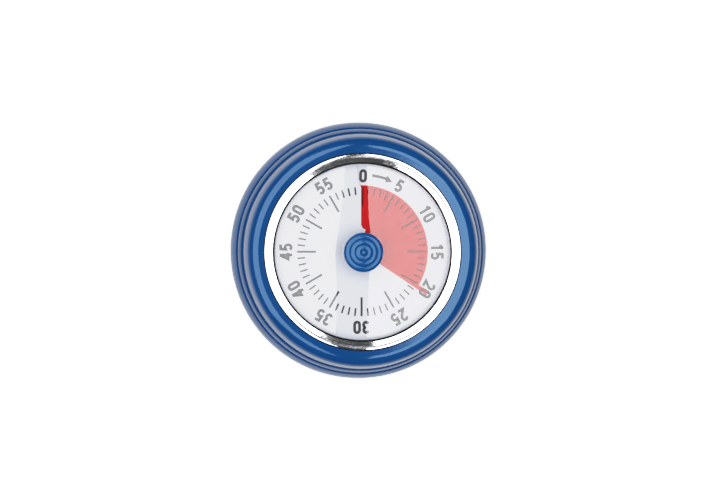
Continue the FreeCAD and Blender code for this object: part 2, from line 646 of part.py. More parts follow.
def make_film():
    """Translucent film with its pointer tab, and the hub that carries it on the arbor."""
    base = WEB_Z + (s.webPitch + s.webThick - s.filmThick) / 2
    lead = num(s.filmLead)
    film = helical_sheet(num(s.hubRadius), num(FILM_RADIUS), lead - num(s.filmSweep), lead,
                         num(base), num(s.filmThick))
    tab = helical_sheet(num(FILM_RADIUS - s.tabRoot), num(TAB_RADIUS),
                        lead - num(s.tabWidth), lead, num(base), num(s.filmThick))
    feature("red_film", film.fuse(tab).removeSplitter())
    low = base + s.webPitch * (s.filmLead - s.filmSweep) / 360 - s.filmThick
    high = low + s.hubThick
    outer = cylinder("hub_outside", s.hubRadius, low, high)
    bore = cylinder("hub_hole", s.arborRadius + s.runGap, low, high)
    flat = DOC.addObject("Part::Box", "hub_flat")
    bind(flat, Length=s.arborRadius, Width=s.arborRadius * 3, Height=s.hubThick)
    place(flat, ARBOR_FLAT + s.runGap, s.arborRadius * -1.5, low)
    label(cut("film_hub_cut", outer, cut("hub_bore", bore, flat)), "film_hub")


# ---- toothed pieces ----

WHEEL_TOOTH = (TOOTH_TIP, 1.2, 0.7, 1.1, 0.25)
PINION_TOOTH = (0.7, 1.2, 0.7, 0.55, 0.3)

# Lightening holes of the wheels: how many, their radius and their circle's radius.
GREAT_WINDOWS = (5, 2.2, 10.6)
FINE_WINDOWS = (5, 1.9, 6.0)
ESCAPE_WINDOWS = (4, 0.7, 1.8)


def tooth_outline(teeth, module, tooth):
    """Straight-sided teeth: addendum and dedendum in modules, then the half widths at the
    root, the pitch circle and the tip in quarters of a tooth."""
    tip, root, at_pitch, at_root, at_tip = tooth
    pitch = module * teeth / 2
    quarter = 90.0 / teeth
    crest = pitch + tip * module
    floor = pitch - root * module
    steps = ((floor, -at_root), (pitch, -at_pitch), (crest, -at_tip), (crest, at_tip),
             (pitch, at_pitch), (floor, at_root))
    points = []
    for index in range(teeth):
        middle = 360.0 * index / teeth
        for reach, share in steps:
            points.append(on_circle(reach, middle + share * quarter))
    return points


def saw_outline(teeth, tip, root, lean):
    """Pointed teeth; lean 0.5 is symmetric, nearer 0 or 1 leans them."""
    points = []
    step = 360.0 / teeth
    for index in range(teeth):
        points.append(on_circle(root, step * index))
        points.append(on_circle(tip, step * (index + lean)))
    return points


def wheel_shape(outline, low, thick, bore, windows=0, window=0.0, reach=0.0):
    wheel = slab(outline, low, thick)
    high = num(low) + num(thick)
    wheel = wheel.cut(rod_shape(bore, low, high))
    for index in range(windows):
        x, y = on_circle(reach, 360.0 * index / windows)
        wheel = wheel.cut(rod_shape(window, low, high).translated(Vector(x, y, 0)))
    return wheel


def arbor_shape(thick):
    """Arbor between the plates, with its thinner pivots run through them."""
    stand = num(s.pivotStand)
    low = num(REAR_PLATE_TOP) + stand
    high = num(FRONT_PLATE_Z) - stand
    pivot = rod_shape(s.pivotRadius, s.rearPlateZ, FRONT_PLATE_TOP)
    return pivot.fuse(rod_shape(thick, low, high))


def pinion_shape(module, low):
    teeth = int(num(s.pinionTeeth))
    return slab(tooth_outline(teeth, module, PINION_TOOTH), low, s.pinionLong)


def mesh_turn(teeth, turn, bearing):
    """How far a pinion is turned to mesh with a wheel of so many teeth, turned by turn,
    that lies behind it along a bearing."""
    share = (bearing - turn) * teeth / 360.0
    return bearing + 180.0 - (0.5 - share) * 360.0 / num(s.pinionTeeth)


def bearing(one, two):
    return math.degrees(math.atan2(two[1] - one[1], two[0] - one[0]))


def geared_arbor(name, at, driver, driver_teeth, module, low):
    """Arbor cut with the pinion that a driving wheel turns."""
    core = num(ARBOR_CORE)
    shape = arbor_shape(core).fuse(pinion_shape(module, low)).removeSplitter()
    feature(name, shape, at[0], at[1], mesh_turn(driver_teeth, 0.0, bearing(driver, at)))
    return core


def make_train():
    """Great wheel, second and third wheels, escape wheel, verge and balance."""
    great = int(num(s.greatTeeth))
    fine = int(num(s.fineTeeth))
    coarse_module = num(s.coarseModule)
    fine_module = num(s.fineModule)
    outline = tooth_outline(great, coarse_module, WHEEL_TOOTH)
    feature("great_wheel", wheel_shape(outline, GREAT_Z, s.greatThick, s.arborRadius,
                                       *GREAT_WINDOWS))
    lead = (num(s.pinionLong) - num(s.wheelThick)) / 2
    core = geared_arbor("second_pinion", SECOND, CENTRE, great, coarse_module,
                        num(GREAT_Z) - (num(s.pinionLong) - num(s.greatThick)) / 2)
    outline = tooth_outline(fine, fine_module, WHEEL_TOOTH)
    feature("second_wheel", wheel_shape(outline, SECOND_Z, s.wheelThick, core, *FINE_WINDOWS),
            *SECOND)
    geared_arbor("third_pinion", THIRD, SECOND, fine, fine_module, num(SECOND_Z) - lead)
    feature("third_wheel", wheel_shape(outline, THIRD_Z, s.wheelThick, core, *FINE_WINDOWS),
            *THIRD)
    geared_arbor("escape_pinion", ESCAPE, THIRD, fine, fine_module, num(THIRD_Z) - lead)
    tip = num(s.escapeRadius)
    outline = saw_outline(int(num(s.escapeTeeth)), tip, tip - num(s.escapeDepth), 0.15)
    feature("escape_wheel", wheel_shape(outline, ESCAPE_Z, s.wheelThick, core,
                                        *ESCAPE_WINDOWS), *ESCAPE)


def make_balance():
    """Verge with its two pallet pins astride the escape wheel, and the balance on its staff."""
    low = num(ESCAPE_Z) + num(s.wheelThick) + 0.3
    thick = num(s.wheelThick)
    reach = num(s.vergeReach)
    pallet = num(s.palletReach)
    back = num(s.vergeAngle) + 180.0
    body = arbor_shape(num(ARBOR_CORE))
    body = body.fuse(rod_shape(1.3, low, low + thick))
    spread = num(s.palletSpread)
    step_x, step_y = on_circle(reach, num(s.vergeAngle))
    for side in (-1, 1):
        x, y = on_circle(pallet, num(s.vergeAngle) + side * spread)
        x, y = x - step_x, y - step_y
        length = math.hypot(x, y)
        angle = math.degrees(math.atan2(y, x))
        arm = [(0.0, -0.45), (length, -0.4), (length + 0.4, 0.0), (length, 0.4), (0.0, 0.45)]
        arm = slab(arm, low, thick)
        arm.rotate(Vector(0, 0, 0), UP, angle)
        pin = rod_shape(s.palletPin, num(ESCAPE_Z) - 0.2, low).translated(Vector(x, y, 0))
        body = body.fuse(arm).fuse(pin)
    feature("verge", body.removeSplitter(), *VERGE)
    outer = num(s.balanceRadius)
    low = num(BALANCE_Z)
    ring = rod_shape(outer, low, low + thick).cut(rod_shape(outer - 0.8, low, low + thick))
    core = num(ARBOR_CORE)
    bar = Part.makeBox(2 * outer - 0.8, 1.0, thick, Vector(0.4 - outer, -0.5, low))
    hub = rod_shape(1.2, low, low + thick)
    ring = ring.fuse(bar).fuse(hub).cut(rod_shape(core, low, low + thick))
    feature("balance_wheel", ring.removeSplitter(), VERGE[0], VERGE[1], back)


def make_barrel():
    """Toothed spring barrel with its lid, the mainspring, and the star wheel it drives."""
    great = int(num(s.greatTeeth))
    module = num(s.coarseModule)
    low = num(BARREL_Z)
    floor = low + num(s.barrelGearThick)
    top = floor + num(s.drumHeight)
    bore = num(s.arborRadius) + num(s.runGap)
    drum = num(DRUM_RADIUS)
    inside = drum - num(s.drumWall)
    body = slab(tooth_outline(great, module, WHEEL_TOOTH), low, s.barrelGearThick)
    body = body.fuse(rod_shape(drum, floor, top)).cut(rod_shape(inside, floor, top))
    body = body.cut(rod_shape(bore, low, top))
    feature("barrel_drum", body.removeSplitter())
    lid_top = top + num(s.lidThick)
    feature("barrel_lid", rod_shape(drum, top, lid_top).cut(rod_shape(bore, top, lid_top)))
    feature("mainspring", spiral_shape(num(s.arborRadius) + 0.1, inside - 0.1,
                                       floor + num(s.springGap),
                                       num(s.drumHeight) - 2 * num(s.springGap)))
    geared_arbor("alarm_pinion", STAR, CENTRE, great, module,
                 low - (num(s.pinionLong) - num(s.barrelGearThick)) / 2 + 0.1)
    tip = num(s.starRadius)
    outline = saw_outline(int(num(s.starTeeth)), tip, tip - num(s.starDepth), 0.5)
    core = num(ARBOR_CORE)
    feature("star_wheel", wheel_shape(outline, STAR_Z, s.barrelGearThick, core), *STAR)


def spiral_shape(inner, outer, low, height):
    """Flat strip wound from the arbor out to the barrel's wall."""
    turns = num(s.springTurns)
    thick = num(s.springThick)
    count = int(turns * 16)
    edges = []
    for offset in (0.0, thick):
        points = []
        for index in range(count + 1):
            share = index / count
            reach = inner + (outer - thick - inner) * share + offset
            x, y = on_circle(reach, 360.0 * turns * share)
            points.append(Vector(x, y, low))
        curve = Part.BSplineCurve()
        curve.interpolate(points)
        edges.append(curve)
    ends = [Part.LineSegment(edges[0].StartPoint, edges[1].StartPoint),
            Part.LineSegment(edges[0].EndPoint, edges[1].EndPoint)]
    wire = Part.Wire([edges[0].toShape(), ends[1].toShape(), edges[1].toShape(),
                      ends[0].toShape()])
    return Part.Face(wire).extrude(Vector(0, 0, height))


# Outlines on the great wheel: the click's heel about its pin, and its bent wire spring.
CLICK_HEEL = [(-0.9, -1.1), (1.1, -0.6), (1.1, 0.9)]
CLICK_SPRING = [(4.6, 6.4), (9.6, 3.6), (9.6, 1.6), (9.8, 1.6), (9.8, 3.75), (4.7, 6.6)]
CLICK_SPRING_STUD = (4.8, 6.6)


def make_winding():
    """Arbor with a flat for the knob and film hub, ratchet, click and the alarm's cam."""
    top = KNOB_BORE_TOP
    rod = cylinder("arbor_rod", s.arborRadius, ARBOR_REAR, top)
    flat = DOC.addObject("Part::Box", "arbor_flat_tool")
    bind(flat, Length=s.arborRadius, Width=s.arborRadius * 3, Height=top - FRONT_PLATE_TOP)
    place(flat, ARBOR_FLAT, s.arborRadius * -1.5, FRONT_PLATE_TOP + 0.2)
    label(cut("winding_arbor_cut", rod, flat), "winding_arbor")
    low = num(GREAT_Z) + num(s.greatThick) + 0.1
    tip = num(s.ratchetRadius)
    root = tip - num(s.ratchetDepth)
    outline = saw_outline(int(num(s.ratchetTeeth)), tip, root, 0.08)
    feature("ratchet_wheel", wheel_shape(outline, low, s.ratchetThick, s.arborRadius))
    reach = num(s.clickReach)
    pin = num(s.clickPin)
    great_top = num(GREAT_Z) + num(s.greatThick)
    stud = rod_shape(pin, great_top, low + num(s.ratchetThick))
    feature("click_pin", stud, reach, 0.0)
    nose_x, nose_y = on_circle(root + 0.45, 36.0)
    click = [(reach + x, y) for x, y in CLICK_HEEL]
    click += [(nose_x + 1.0, nose_y + 1.0), (nose_x, nose_y)]
    body = slab(click, low, s.ratchetThick)
    hole = rod_shape(pin + num(s.runGap), low, low + num(s.ratchetThick))
    feature("click", body.cut(hole.translated(Vector(reach, 0, 0))))
    spring = slab(CLICK_SPRING, low, s.ratchetThick)
    stud = rod_shape(0.5, great_top, low + num(s.ratchetThick))
    stud = stud.translated(Vector(*CLICK_SPRING_STUD, 0))
    feature("click_spring", spring.fuse(stud).removeSplitter())
    cam = rod_shape(CAM_RADIUS, CAM_Z, CAM_Z + s.camThick)
    cam = cam.cut(rod_shape(s.arborRadius, CAM_Z, CAM_Z + s.camThick))
    notch = num(s.camNotch)
    box = Part.makeBox(notch * 2, notch, num(s.camThick),
                       Vector(num(CAM_RADIUS) - notch, -notch / 2, num(CAM_Z)))
    cam = cam.cut(box)
    feature("release_cam", cam, 0.0, 0.0, num(s.leverAngle) + num(s.filmLead) - 4.0)


def make_alarm():
    """Bell on its post, hammer, and the lever that holds the star wheel until 0."""
    turned("bell", [
        (s.screwRadius, BELL_Z), (s.bellRadius, BELL_Z), (s.bellRadius, BELL_TOP),
        (s.bellRadius - s.bellWall, BELL_TOP), (s.bellRadius - s.bellWall, BELL_Z + s.bellWall),
        (s.screwRadius, BELL_Z + s.bellWall)])
    turned("bell_post", ring_section(s.screwRadius, s.bellPost, BELL_Z + s.bellWall,
                                     s.rearPlateZ))
    feature("bell_screw", screw_shape(num(BELL_Z) - num(s.bellScrewThick),
                                      num(s.bellScrewThick), num(s.bellScrewHead),
                                      num(s.screwRadius), num(s.bellScrewLength)))
    low = num(HAMMER_ARM_Z)
    thick = num(s.camThick)
    hammer_x = -num(s.hammerX)
    hammer_y = num(s.hammerY) - HAMMER[1]
    tail_x, tail_y = 3.4, -5.7
    arm = slab([(-0.9, 0.9), (0.9, 0.9), (tail_x + 0.4, tail_y), (tail_x - 0.4, tail_y - 0.2),
                (0.0, -1.0), (hammer_x + 0.5, hammer_y - 0.5), (hammer_x - 0.5, hammer_y + 0.5)],
               low, thick)
    tail = rod_shape(s.hammerTail, STAR_Z, low + thick).translated(Vector(tail_x, tail_y, 0))
    staff = arbor_shape(num(ARBOR_CORE))
    feature("hammer_arm", arm.fuse(tail).fuse(staff).removeSplitter(), *HAMMER)
    wire = rod_shape(s.hammerWire, HAMMER_LOW, low)
    head = wire.fuse(rod_shape(s.hammerHead, HAMMER_LOW, BELL_TOP - 0.2))
    feature("hammer_head", head.removeSplitter(), hammer_x, num(s.hammerY))
    reach = num(CAM_RADIUS) + num(s.leverGap)
    pin_x, pin_y = on_circle(num(PITCH_COARSE + s.starRadius) + 0.9, num(s.starAngle) - 8.0)
    angle = num(s.leverAngle)
    outline = [on_circle(reach, angle), on_circle(reach + 1.5, angle - 8.0),
               (LEVER[0] + 0.4, LEVER[1] - 1.1), (LEVER[0] + 1.2, LEVER[1] + 0.2),
               (pin_x + 0.6, pin_y + 0.5), (pin_x - 0.5, pin_y + 0.3),
               (LEVER[0] - 1.4, LEVER[1] + 0.6), on_circle(reach + 1.5, angle + 8.0)]
    lever = slab(outline, CAM_Z, s.camThick)
    stop = rod_shape(0.35, num(STAR_Z), num(CAM_Z)).translated(Vector(pin_x, pin_y, 0))
    staff = arbor_shape(num(ARBOR_CORE)).translated(Vector(LEVER[0], LEVER[1], 0))
    feature("release_lever", lever.fuse(stop).fuse(staff).removeSplitter())


# ---- movement frame ----

def make_plates():
    """Front and rear plates with the pivot holes; the rear one has ears and hammer slot."""
    gap = s.runGap
    for name, low, with_ears in (("rear_plate", s.rearPlateZ, True),
                                 ("front_plate", FRONT_PLATE_Z, False)):
        high = low + s.plateThick
        solids = [cylinder(name + "_disc", PLATE_RADIUS, low, high)]
        holes = [cylinder(name + "_arbor_hole", s.arborRadius + gap, low, high)]
        for index, (x, y) in enumerate(PIVOTS):
            holes.append(cylinder("%s_pivot_%d" % (name, index), s.pivotRadius + gap, low, high,
                                  x, y))
        for index, degrees in enumerate(PILLAR_ANGLES):
            angle = math.radians(degrees)
            holes.append(cylinder("%s_stud_%d" % (name, index), s.pillarStud, low, high,
                                  PILLAR_CIRCLE * math.cos(angle),
                                  PILLAR_CIRCLE * math.sin(angle)))
        if with_ears:
            for index in range(POST_COUNT):
                angle = math.radians(num(s.screwTurn) + 360.0 / POST_COUNT * index)
                x = POST_CIRCLE * math.cos(angle)
                y = POST_CIRCLE * math.sin(angle)
                ear = POST_CIRCLE - s.earInset
                solids.append(cylinder("ear_%d" % index, s.earRadius, low, high,
                                       ear * math.cos(angle), ear * math.sin(angle)))
                holes.append(cylinder("ear_hole_%d" % index, s.screwRadius, low, high, x, y))
            holes.append(cylinder("hammer_slot", s.hammerSlot, low, high, s.hammerX * -1,
                                  s.hammerY))
        solid = fused(name + "_solid", solids) if with_ears else solids[0]
        plate = cut(name + "_cut", solid, fused(name + "_holes", holes))
        label(plate, name)


def make_pillars():
    """Four pillars with studs through both plates, and the nuts on them."""
    body = rod_shape(s.pillarRadius, REAR_PLATE_TOP, FRONT_PLATE_Z)
    stud = rod_shape(s.pillarStud, s.rearPlateZ - s.nutThick, FRONT_PLATE_TOP)
    feature("pillars", ring_of(body.fuse(stud).removeSplitter(), num(PILLAR_CIRCLE),
                               PILLAR_ANGLES))
    outline = [on_circle(num(s.nutRadius), 60.0 * side) for side in range(6)]
    nut = slab(outline, num(s.rearPlateZ) - num(s.nutThick), s.nutThick)
    nut = nut.cut(rod_shape(s.pillarStud, s.rearPlateZ - s.nutThick, s.rearPlateZ))
    feature("pillar_nuts", ring_of(nut, num(PILLAR_CIRCLE), PILLAR_ANGLES))


def check_and_write():
    DOC.recompute()
    faults = [thing.Label for thing in DOC.Objects
              if "Invalid" in thing.State or "Error" in thing.State]
    faults += [piece.Label for piece in PIECES
               if piece.Shape.isNull() or not piece.Shape.isValid()]
    if faults:
        raise RuntimeError("failed pieces: " + ", ".join(faults))
    os.makedirs("parts", exist_ok=True)
    for piece in PIECES:
        piece.Shape.exportStep("parts/%s.step" % piece.Label)
        print("%-16s %9.2f mm3 %d solid" % (piece.Label, piece.Shape.Volume,
                                            len(piece.Shape.Solids)))


make_housing()
make_rear_cover()
make_screws()
make_rear_fittings()
make_front()
make_knob()
make_dial()
make_film()
make_plates()
make_pillars()
make_train()
make_balance()
make_barrel()
make_winding()
make_alarm()
check_and_write()
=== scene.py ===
import math

import bmesh
import bpy
from mathutils import Matrix, Vector


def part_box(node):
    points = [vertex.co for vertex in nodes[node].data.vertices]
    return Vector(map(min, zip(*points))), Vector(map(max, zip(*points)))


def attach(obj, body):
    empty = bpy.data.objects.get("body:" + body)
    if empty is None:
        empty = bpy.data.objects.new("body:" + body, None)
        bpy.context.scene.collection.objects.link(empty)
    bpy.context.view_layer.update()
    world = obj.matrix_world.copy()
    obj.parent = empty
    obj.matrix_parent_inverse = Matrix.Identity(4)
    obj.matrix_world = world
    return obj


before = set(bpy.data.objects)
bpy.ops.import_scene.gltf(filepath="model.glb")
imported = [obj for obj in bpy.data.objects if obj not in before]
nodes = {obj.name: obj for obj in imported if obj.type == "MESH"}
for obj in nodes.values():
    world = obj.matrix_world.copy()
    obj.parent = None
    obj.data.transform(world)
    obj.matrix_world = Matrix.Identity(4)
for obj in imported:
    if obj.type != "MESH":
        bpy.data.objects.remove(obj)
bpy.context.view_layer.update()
mm = 0.001
print("frame loaded:", len(nodes), "parts")


class Signal:  # a value on its way through a material's nodes, usable in a formula
    def __init__(self, shader, socket):
        self.shader = shader
        self.socket = socket

    def math(self, operation, first, second=0.0):
        return self.shader.node("Math", {"operation": operation}, {0: first, 1: second})

    def __add__(self, other):
        return self.math("ADD", self, other)

    def __radd__(self, other):
        return self.math("ADD", other, self)

    def __sub__(self, other):
        return self.math("SUBTRACT", self, other)

    def __rsub__(self, other):
        return self.math("SUBTRACT", other, self)

    def __mul__(self, other):
        return self.math("MULTIPLY", self, other)

    def __rmul__(self, other):
        return self.math("MULTIPLY", other, self)

    def __abs__(self):
        return self.math("ABSOLUTE", self)

    def most(self, other):  # the greater of two values
        return self.math("MAXIMUM", self, other)

    def ramp(self, low, high, start=0.0, end=1.0):  # smooth step from start to end
        return self.shader.node("MapRange", {"interpolation_type": "SMOOTHSTEP"}, {
            "Value": self, "From Min": low, "From Max": high, "To Min": start, "To Max": end})

    def blend(self, first, second):  # first colour where this is 0, second where it is 1
        return self.shader.node("Mix", {"data_type": "RGBA"}, {0: self, 6: first, 7: second}, 2)


class Shader:  # one material and the nodes in it
    def __init__(self, name):
        self.material = bpy.data.materials.new(name)
        self.material.use_nodes = True
        self.tree = self.material.node_tree
        self.tree.nodes.clear()
        self.place = self.node("TexCoord", output="Object")

    def node(self, kind, settings=None, inputs=None, output=0):
        made = self.tree.nodes.new("ShaderNode" + kind)
        for name, value in (settings or {}).items():
            setattr(made, name, value)
        for name, value in (inputs or {}).items():
            if isinstance(value, Signal):
                self.tree.links.new(value.socket, made.inputs[name])
            else:
                made.inputs[name].default_value = value
        return Signal(self, made.outputs[output])

    def noise(self, size, detail=2.0, rough=0.5):  # size of one lump in metres
        return self.node("TexNoise", None, {
            "Vector": self.place, "Scale": 1 / size, "Detail": detail, "Roughness": rough})

    def around(self, centre):  # distance from a turning axis that stands along Z
        moved = self.node("Mapping", None, {
            "Vector": self.place, "Location": (-centre[0], -centre[1], 0.0)})
        flat = self.node("VectorMath", {"operation": "MULTIPLY"}, {0: moved, 1: (1.0, 1.0, 0.0)})
        return self.node("VectorMath", {"operation": "LENGTH"}, {0: flat}, "Value")

    def bump(self, height, depth):  # depth in metres
        return self.node("Bump", None, {"Height": height, "Distance": depth, "Strength": 1.0})

    def surface(self, shader):
        end = self.tree.nodes.new("ShaderNodeOutputMaterial")
        self.tree.links.new(shader.socket, end.inputs["Surface"])
        return self.material

    def principled(self, inputs):
        return self.surface(self.node("BsdfPrincipled", None, inputs))


def shade(colour, amount):
    return tuple(part * amount for part in colour[:3]) + (1.0,)


# finishes: sizes of grain, cloud and lump are in metres

enamelLook = {"colour": (0.008, 0.076, 0.285, 1.0), "tint": 0.93, "cloud": 0.012,
              "rough": 0.05, "roughCloud": 0.02, "ior": 1.6,
              "sheen": (0.45, 0.78, 1.0, 1.0), "peel": 0.0025, "peelDepth": 0.000003}


def enamel(name, look):  # sprayed and stoved paint: even, glossy, with a trace of orange peel
    paint = Shader(name)
    cloud = paint.noise(look["cloud"], 3.0).ramp(0.35, 0.65)
    return paint.principled({
        "Base Color": cloud.blend(shade(look["colour"], look["tint"]), look["colour"]),
        "Roughness": look["rough"] + look["roughCloud"] * cloud,
        "IOR": look["ior"], "Specular Tint": look["sheen"],
        "Normal": paint.bump(paint.noise(look["peel"]), look["peelDepth"])})


plasticLook = {"colour": (0.010, 0.090, 0.320, 1.0), "tint": 0.94, "cloudGrains": 14,
               "rough": 0.06, "roughGrain": 0.06, "ior": 1.6,
               "sheen": (0.45, 0.78, 1.0, 1.0), "grain": 0.0006, "grainDepth": 0.0000015}


def gloss(name, look):  # moulded plastic with a fine grain
    resin = Shader(name)
    grain = resin.noise(look["grain"], 3.0)
    cloud = resin.noise(look["grain"] * look["cloudGrains"]).ramp(0.35, 0.65)
    return resin.principled({
        "Base Color": cloud.blend(shade(look["colour"], look["tint"]), look["colour"]),
        "Roughness": look["rough"] + look["roughGrain"] * grain,
        "IOR": look["ior"], "Specular Tint": look["sheen"],
        "Normal": resin.bump(grain, look["grainDepth"])})


# the dark colour, its strength on the line and its extra roughness are painted shade at the
# bezel's seam, inner edge and scored line
chromeLook = {"dull": (0.86, 0.87, 0.89, 1.0), "bright": (0.93, 0.93, 0.94, 1.0),
              "paintedShade": (0.10, 0.095, 0.10, 1.0), "rough": 0.035, "roughHaze": 0.04,
              "roughShade": 0.15, "haze": 0.006, "wave": 0.0022, "waveDepth": 0.000009,
              "seamIn": 27.30 * mm, "seamOut": 27.44 * mm, "lip": 24.95 * mm,
              "lipBlend": 0.2 * mm, "line": 26.78 * mm, "lineHalf": 0.16 * mm,
              "lineCore": 0.3, "lineShade": 0.55}


def chrome(name, look):  # bright plating over a spun ring, with painted shade darkening it at its outer seam, its inner edge and its scored line
    plate = Shader(name)
    wave = plate.noise(look["wave"], 2.0)
    haze = plate.noise(look["haze"], 3.0).ramp(0.3, 0.7)
    radius = plate.around((0, 0))
    # painted shade: the chrome is darkened and roughened at the seam with the case, at the inner
    # edge by the lens and along the scored line
    seam = radius.ramp(look["seamIn"], look["seamOut"])
    inner = radius.ramp(look["lip"], look["lip"] + look["lipBlend"], 1.0, 0.0)
    line = abs(radius - look["line"]).ramp(
        look["lineCore"] * look["lineHalf"], look["lineHalf"], look["lineShade"], 0.0)
    paintedShade = seam.most(inner.most(line))
    return plate.principled({
        "Base Color": paintedShade.blend(haze.blend(look["dull"], look["bright"]), look["paintedShade"]),
        "Metallic": 1.0,
        "Roughness": look["rough"] + look["roughHaze"] * haze + look["roughShade"] * paintedShade,
        "Normal": plate.bump(wave, look["waveDepth"])})


lensLook = {"ior": 1.49, "clear": (0.985, 0.988, 0.99, 1.0), "rough": 0.012,
            "dust": 0.004, "roughDust": 0.01}


def clearPlastic(name, look):  # lets light straight through and mirrors a little on each face
    pane = Shader(name)
    inside = pane.node("NewGeometry", output="Backfacing")
    ior = look["ior"] - inside * (look["ior"] - 1 / look["ior"])
    mirror = pane.node("Fresnel", None, {"IOR": ior})
    dust = pane.noise(look["dust"], 3.0).ramp(0.4, 0.8)
    through = pane.node("BsdfTransparent", None, {"Color": look["clear"]})
    skin = pane.node("BsdfGlossy", None, {"Roughness": look["rough"] + look["roughDust"] * dust})
    return pane.surface(pane.node("MixShader", None, {0: mirror, 1: through, 2: skin}))


# the glow and its colour are painted light: the dial gives off a little light of its own
dialLook = {"white": (0.845, 0.860, 0.940, 1.0), "whiter": (0.86, 0.875, 0.955, 1.0),
            "mottle": 0.0045, "rough": 0.42, "roughMottle": 0.1, "specular": 0.3,
            "paintedGlowColour": (0.90, 0.94, 1.0, 1.0), "glow": 0.08,
            "grain": 0.0003, "grainDepth": 0.000002}


def paperWhite(name, look):  # satin white with a faint mottle and a faint painted glow: the paper is given light of its own
    sheet = Shader(name)
    mottle = sheet.noise(look["mottle"], 3.0).ramp(0.3, 0.7)
    return sheet.principled({
        "Base Color": mottle.blend(look["white"], look["whiter"]),
        "Roughness": look["rough"] + look["roughMottle"] * mottle,
        "Specular IOR Level": look["specular"],
        # painted light: the faint glow brightens the paper beyond what the lamps give it
        "Emission Color": look["paintedGlowColour"], "Emission Strength": look["glow"],
        "Normal": sheet.bump(sheet.noise(look["grain"]), look["grainDepth"])})


inkLook = {"dark": (0.045, 0.045, 0.052, 1.0), "worn": (0.060, 0.060, 0.068, 1.0),
           "wear": 0.0008, "rough": 0.5, "roughWear": 0.1, "specular": 0.3}


def ink(name, look):
    stamp = Shader(name)
    worn = stamp.noise(look["wear"], 3.0).ramp(0.3, 0.75)
    return stamp.principled({
        "Base Color": worn.blend(look["dark"], look["worn"]),
        "Roughness": look["rough"] + look["roughWear"] * worn,
        "Specular IOR Level": look["specular"]})


filmLook = {"tint": (0.965, 0.17, 0.20, 1.0), "body": (0.80, 0.03, 0.045, 1.0), "shade": 0.9,
            "cover": 0.10, "coverCloud": 0.02, "cloud": 0.003, "rough": 0.2}


def tintedFilm(name, look):  # clear red sheet: the dial and its print show through it
    film = Shader(name)
    cloud = film.noise(look["cloud"], 2.0).ramp(0.3, 0.7)
    through = film.node("BsdfTransparent", None, {"Color": look["tint"]})
    body = film.node("BsdfPrincipled", None, {
        "Base Color": cloud.blend(shade(look["body"], look["shade"]), look["body"]),
        "Roughness": look["rough"]})
    return film.surface(film.node("MixShader", None, {
        0: look["cover"] + look["coverCloud"] * cloud, 1: through, 2: body}))


rubberLook = {"grain": 0.0004, "grainDepth": 0.00002, "bloom": 0.006, "bloomShade": 1.5,
              "rough": 0.62, "roughGrain": 0.18,
              "foot": (0.02, 0.02, 0.021, 1.0), "gasket": (0.012, 0.012, 0.013, 1.0)}


def rubber(name, colour, look):
    mix = Shader(name)
    grain = mix.noise(look["grain"], 4.0)
    bloom = mix.noise(look["bloom"], 3.0).ramp(0.35, 0.75)
    return mix.principled({
        "Base Color": bloom.blend(colour, shade(colour, look["bloomShade"])),
        "Roughness": look["rough"] + look["roughGrain"] * grain,
        "Normal": mix.bump(grain, look["grainDepth"])})


mouldedLook = {"pitsPerMetre": 2200.0, "pitDepth": 0.00003, "cloud": 0.008,
               "low": 0.85, "high": 1.15, "roughCloud": 0.12,
               "cover": (0.024, 0.025, 0.028, 1.0), "coverRough": 0.45,
               "natural": (0.62, 0.61, 0.57, 1.0), "naturalRough": 0.32}


def moulded(name, colour, rough, look):  # spark-eroded texture of a moulded plastic part
    resin = Shader(name)
    pits = resin.node("TexVoronoi", None, {
        "Vector": resin.place, "Scale": look["pitsPerMetre"]})
    cloud = resin.noise(look["cloud"], 3.0).ramp(0.35, 0.7)
    return resin.principled({
        "Base Color": cloud.blend(shade(colour, look["low"]), shade(colour, look["high"])),
        "Roughness": rough + look["roughCloud"] * cloud,
        "Normal": resin.bump(pits, look["pitDepth"])})


metalLook = {
    "brass": {"colour": (0.78, 0.56, 0.23, 1.0), "rough": 0.22,
              "line": 0.00012, "depth": 0.000004},
    "plate": {"colour": (0.56, 0.57, 0.58, 1.0), "rough": 0.30,
              "line": 0.0005, "depth": 0.000005},
    "steel": {"colour": (0.50, 0.50, 0.51, 1.0), "rough": 0.18,
              "line": 0.00010, "depth": 0.000003},
    "zinc": {"colour": (0.66, 0.68, 0.71, 1.0), "rough": 0.26,
             "line": 0.00022, "depth": 0.000006},
    "spring": {"colour": (0.30, 0.33, 0.40, 1.0), "rough": 0.24,
               "line": 0.00016, "depth": 0.000003},
    "bell": {"colour": (0.72, 0.71, 0.68, 1.0), "rough": 0.12,
             "line": 0.0004, "depth": 0.000004},
}
stainLook = {"size": 0.004, "shade": 0.78, "roughRings": 0.16, "roughStain": 0.08}


def metal(name, look, stains, centre):  # turned or stamped, with fine rings about its own axis
    part = Shader(name)
    radius = part.around(centre)
    rings = part.node("TexNoise", {"noise_dimensions": "1D"}, {
        "W": radius, "Scale": 1 / look["line"], "Detail": 3.0})
    stain = part.noise(stains["size"], 4.0, 0.6).ramp(0.35, 0.7)
    return part.principled({
        "Base Color": stain.blend(shade(look["colour"], stains["shade"]), look["colour"]),
        "Metallic": 1.0,
        "Roughness": look["rough"] + stains["roughRings"] * rings + stains["roughStain"] * stain,
        "Normal": part.bump(rings, look["depth"])})


magnetLook = {"pits": 0.0006, "pitDepth": 0.00005, "rough": 0.55, "roughPits": 0.2,
              "dark": (0.016, 0.016, 0.018, 1.0), "light": (0.05, 0.05, 0.052, 1.0)}


def ferrite(name, look):  # pressed magnet: matt, dark and slightly pitted
    block = Shader(name)
    pits = block.noise(look["pits"], 5.0, 0.65)
    return block.principled({
        "Base Color": pits.ramp(0.35, 0.7).blend(look["dark"], look["light"]),
        "Roughness": look["rough"] + look["roughPits"] * pits,
        "Normal": block.bump(pits, look["pitDepth"])})


def middle(node):
    low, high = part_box(node)
    return (low + high) / 2


def coat(node, material):
    for slot in nodes[node].material_slots:
        slot.material = material


